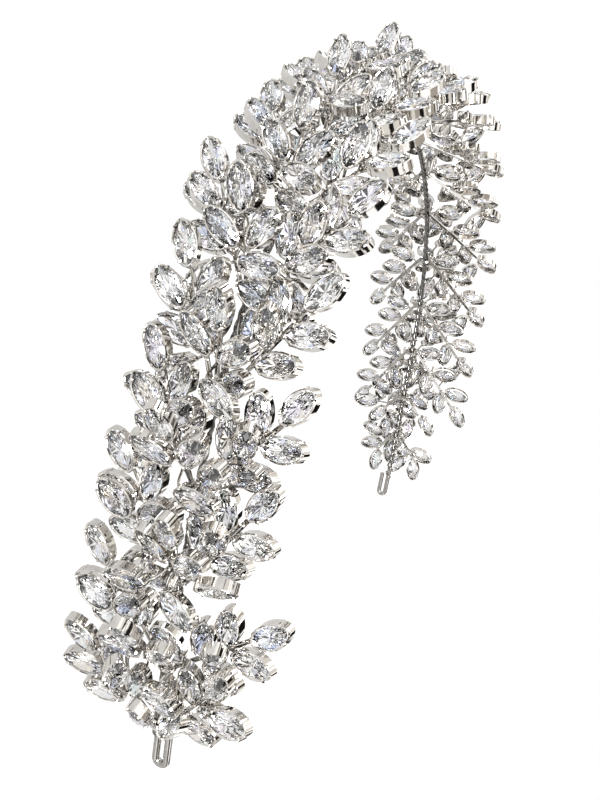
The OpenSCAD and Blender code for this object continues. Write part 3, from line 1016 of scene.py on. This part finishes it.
COILS = [
    ("binding_near", WRAP_START, NEAR_WRAP, CLOSE_PITCH),
    ("binding_far", BAND_LENGTH - WRAP_START - FAR_WRAP, FAR_WRAP, OPEN_PITCH),
]
for node, start, length, pitch in COILS:
    path, forward = coil(start, length, pitch)
    shape = swept(path[None], forward[None], WRAP_THICKNESS / 2, COIL_SIDES)
    piece = make_mesh(node + "_coil", shape, COIL_CREASE)
    seated(piece, "binding_wire", binding_wire_finish, node)
    print(piece.name, "has", int(length / pitch), "turns")

# %% [markdown]
# ## A white table and studio light
# The band lies on its side on a white light table. The room is a set of large soft panels with dark
# gaps between them, because polished metal and cut stones only show their shape when they have
# something light and something dark to mirror. Straight behind, the camera sees plain white.

# %% The table
FLOOR_HALF = 4.0
# How brightly the table glows on the band and to the camera
GLOW_ON_BAND = 0.62
GLOW_TO_CAMERA = 0.96
corners = FLOOR_HALF / MM * np.array([[-1, -1, 0], [1, -1, 0], [1, 1, 0], [-1, 1, 0]], float)
floor = make_mesh("light_table", (corners, [np.arange(4)[None]]))
white_table, tree, output = new_material("white_acrylic_light_table")
sheet = add_node(tree, "ShaderNodeBsdfDiffuse", {"Color": (0.12, 0.12, 0.12, 1)})
seen = add_node(tree, "ShaderNodeLightPath").outputs["Is Camera Ray"]
level = add_node(tree, "ShaderNodeMapRange",
                 {"To Min": GLOW_ON_BAND, "To Max": GLOW_TO_CAMERA}, {"Value": seen})
glow = add_node(tree, "ShaderNodeEmission",
                {"Color": colour("#FFFFFF")}, {"Strength": level.outputs["Result"]})
lit = add_node(tree, "ShaderNodeAddShader")
tree.links.new(sheet.outputs["BSDF"], lit.inputs[0])
tree.links.new(glow.outputs["Emission"], lit.inputs[1])
tree.links.new(lit.outputs["Shader"], output.inputs["Surface"])
floor.data.materials.append(white_table)

# %% The room
# Columns: the lowest number that gives a panel this light, and the light in linear red, green and blue,
# which may go past one
PANEL_LIGHT = [
    [0.0, (0.010, 0.009, 0.008, 1)], [0.19, (0.50, 0.46, 0.41, 1)], [0.30, (0.98, 0.95, 0.90, 1)],
    [0.50, (1.42, 1.41, 1.40, 1)], [0.78, (2.7, 2.7, 2.75, 1)],
]
# The higher, the smaller the panels
PANEL_SCALE = 4.2
world = bpy.data.worlds.new("studio_room")
bpy.context.scene.world = world
world.use_nodes = True
tree = world.node_tree
tree.nodes.clear()
direction = add_node(tree, "ShaderNodeTexCoord").outputs["Generated"]
panels = add_node(tree, "ShaderNodeTexVoronoi",
                  {"Scale": PANEL_SCALE, "feature": "F1"}, {"Vector": direction})
choice = add_node(tree, "ShaderNodeSeparateColor", links={"Color": panels.outputs["Color"]}).outputs["Red"]
level = ramp(tree, choice, PANEL_LIGHT, "CONSTANT")
room = add_node(tree, "ShaderNodeBackground", {"Strength": 1.0}, {"Color": level})
plain = add_node(tree, "ShaderNodeBackground", {"Color": colour("#FFFFFF"), "Strength": 1.0})
seen = add_node(tree, "ShaderNodeLightPath").outputs["Is Camera Ray"]
both = add_node(tree, "ShaderNodeMixShader", links={"Fac": seen})
tree.links.new(room.outputs["Background"], both.inputs[1])
tree.links.new(plain.outputs["Background"], both.inputs[2])
add_node(tree, "ShaderNodeOutputWorld", links={"Surface": both.outputs["Shader"]})

# %% A soft lamp on each side
MIDDLE_OF_BAND = Vector((0.0, 0.0, 0.02))


def soft_lamp(name, place, size, power):
    """A square lamp that faces the middle of the band."""
    lamp = bpy.data.lights.new(name, "AREA")
    lamp.shape, lamp.size, lamp.energy = "SQUARE", size, power
    holder = bpy.data.objects.new(name, lamp)
    bpy.context.scene.collection.objects.link(holder)
    holder.location = place
    holder.rotation_euler = (MIDDLE_OF_BAND - Vector(place)).to_track_quat("-Z", "Y").to_euler()


soft_lamp("key_lamp", (-0.55, 0.10, 0.60), 0.25, 8.5)
soft_lamp("fill_lamp", (0.30, 0.50, 0.50), 0.30, 2.0)

# %% [markdown]
# ## The camera
# The photograph looks at the outer face of the near leg and into the far one. The camera's place and
# its three directions were worked out from the spine, the leaf tips and both loops.

# %% The camera
PHOTO_HEIGHT = 800
FOCAL_PIXELS = 748.9
# The picture is taller than wide, so the sensor's size counts along its height
SENSOR = 36.0
NEAREST = 5 * MM
EYE = np.array([-188.086, 61.263, 57.621]) - MIDDLE + [0, 0, REST_HEIGHT]
RIGHTWARD = np.array([0.3872, 0.1564, 0.9086])
UPWARD = np.array([0.2203, 0.9413, -0.2559])
camera_data = bpy.data.cameras.new("photo_camera")
camera_data.sensor_width = SENSOR
camera_data.lens = FOCAL_PIXELS / PHOTO_HEIGHT * SENSOR
camera_data.clip_start = NEAREST
camera = bpy.data.objects.new("photo_camera", camera_data)
bpy.context.scene.collection.objects.link(camera)
turn = Matrix(np.stack([RIGHTWARD, UPWARD, np.cross(RIGHTWARD, UPWARD)], 1).tolist())
camera.matrix_world = Matrix.Translation(Vector(EYE * MM)) @ turn.to_4x4()
bpy.context.scene.camera = camera
bpy.context.scene.view_settings.view_transform = "Standard"
bpy.context.scene.cycles.use_denoising = True
bpy.context.scene.cycles.transmission_bounces = 12
print("Lens of the camera:", round(camera_data.lens, 1), "mm")
